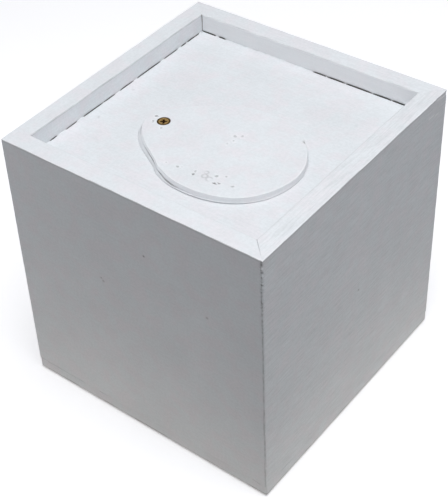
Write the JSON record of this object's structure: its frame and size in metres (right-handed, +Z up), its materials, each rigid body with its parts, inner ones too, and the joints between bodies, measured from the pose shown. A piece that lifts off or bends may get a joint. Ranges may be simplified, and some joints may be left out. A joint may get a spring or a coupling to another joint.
{
  "type": "display plinth",
  "caption": "Square mitred box plinth with a sunk top panel, whose round access hole is closed by an egg-shaped cover that swings on a screw.",
  "frame": {"origin": "centre of the footprint on the underside of the base board", "axes": "+Z up, +X to the right, from the cover's pivot screw towards its wide end, +Y to the back"},
  "size_m": [0.18, 0.18, 0.184],
  "materials": {
    "painted_board": "cool white satin paint on 12 mm birch plywood",
    "painted_panel": "cool white satin paint on the plywood top panel",
    "painted_cover": "cool white satin paint on thin plywood, with brush marks and small blemishes",
    "birch_spline": "bare birch plywood strip",
    "pine_framing": "bare planed pine",
    "zinc_screws": "zinc-plated countersunk wood screws",
    "brass": "dull brass, darkened in the recess"
  },
  "bodies": {
    "plinth": {"front_wall": "painted_board", "right_wall": "painted_board", "back_wall": "painted_board", "left_wall": "painted_board", "spline_front_left": "birch_spline", "spline_front_right": "birch_spline", "spline_back_left": "birch_spline", "spline_back_right": "birch_spline", "corner_block_front_left": "pine_framing", "corner_block_front_right": "pine_framing", "corner_block_back_left": "pine_framing", "corner_block_back_right": "pine_framing", "batten_front": "pine_framing", "batten_right": "pine_framing", "batten_back": "pine_framing", "batten_left": "pine_framing", "batten_screws": "zinc_screws", "base_board": "painted_board", "base_screws": "zinc_screws", "top_board": "painted_panel", "top_board_screws": "zinc_screws", "pivot_washer": "brass", "pivot_screw": "brass"},
    "cover": {"swing_cover": "painted_cover"}
  },
  "joints": [
    {"name": "cover_swing", "type": "hinge", "parent": "plinth", "child": "cover", "pos_m": [-0.0325, -0.0168, 0.1743], "axis": [0, 0, 1], "range_deg": [-22, 95]}
  ]
}
